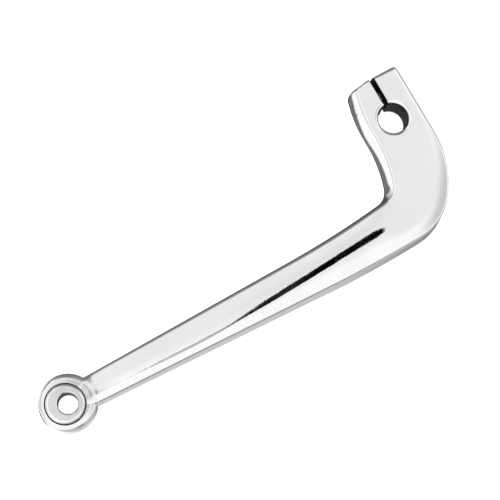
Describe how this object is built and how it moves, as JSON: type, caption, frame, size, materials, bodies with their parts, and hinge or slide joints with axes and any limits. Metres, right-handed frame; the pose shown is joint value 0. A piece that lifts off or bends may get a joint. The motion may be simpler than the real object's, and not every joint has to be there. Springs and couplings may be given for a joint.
{
  "type": "motorcycle gear-shift lever",
  "caption": "Foot gear-shift lever: splined pinch clamp with a screw, a bend, a tapering arm and a bossed eye for the toe peg's bolt.",
  "frame": {"origin": "on the clamp bore's axis, in the plane of the lever's flat back", "axes": "+Z along the clamp bore from the back to the polished front, +X towards the eye, +Y to the bend's outer side"},
  "size_m": [0.2512, 0.0812, 0.0175],
  "materials": {
    "lever_chrome": "polished decorative chrome plate",
    "screw_steel": "zinc-plated cap screw",
    "washer_steel": "zinc-plated spring steel"
  },
  "bodies": {
    "lever": {"lever_arm": "lever_chrome"},
    "washer": {"lock_washer": "washer_steel"},
    "screw": {"pinch_screw": "screw_steel"}
  },
  "joints": [
    {"name": "screw_travel", "type": "slide", "parent": "lever", "child": "washer", "axis": [-0.9781, 0.2079, 0], "range_m": [0, 0.00726]},
    {"name": "screw_turn", "type": "hinge", "parent": "washer", "child": "screw", "pos_m": [-0.01224, -0.0114, 0.0086], "axis": [-0.9781, 0.2079, 0], "range_deg": [0, 2880]}
  ],
  "couplings": [
    {"joint": "screw_turn", "follows": "screw_travel", "rad_per_m": 6926.4}
  ]
}
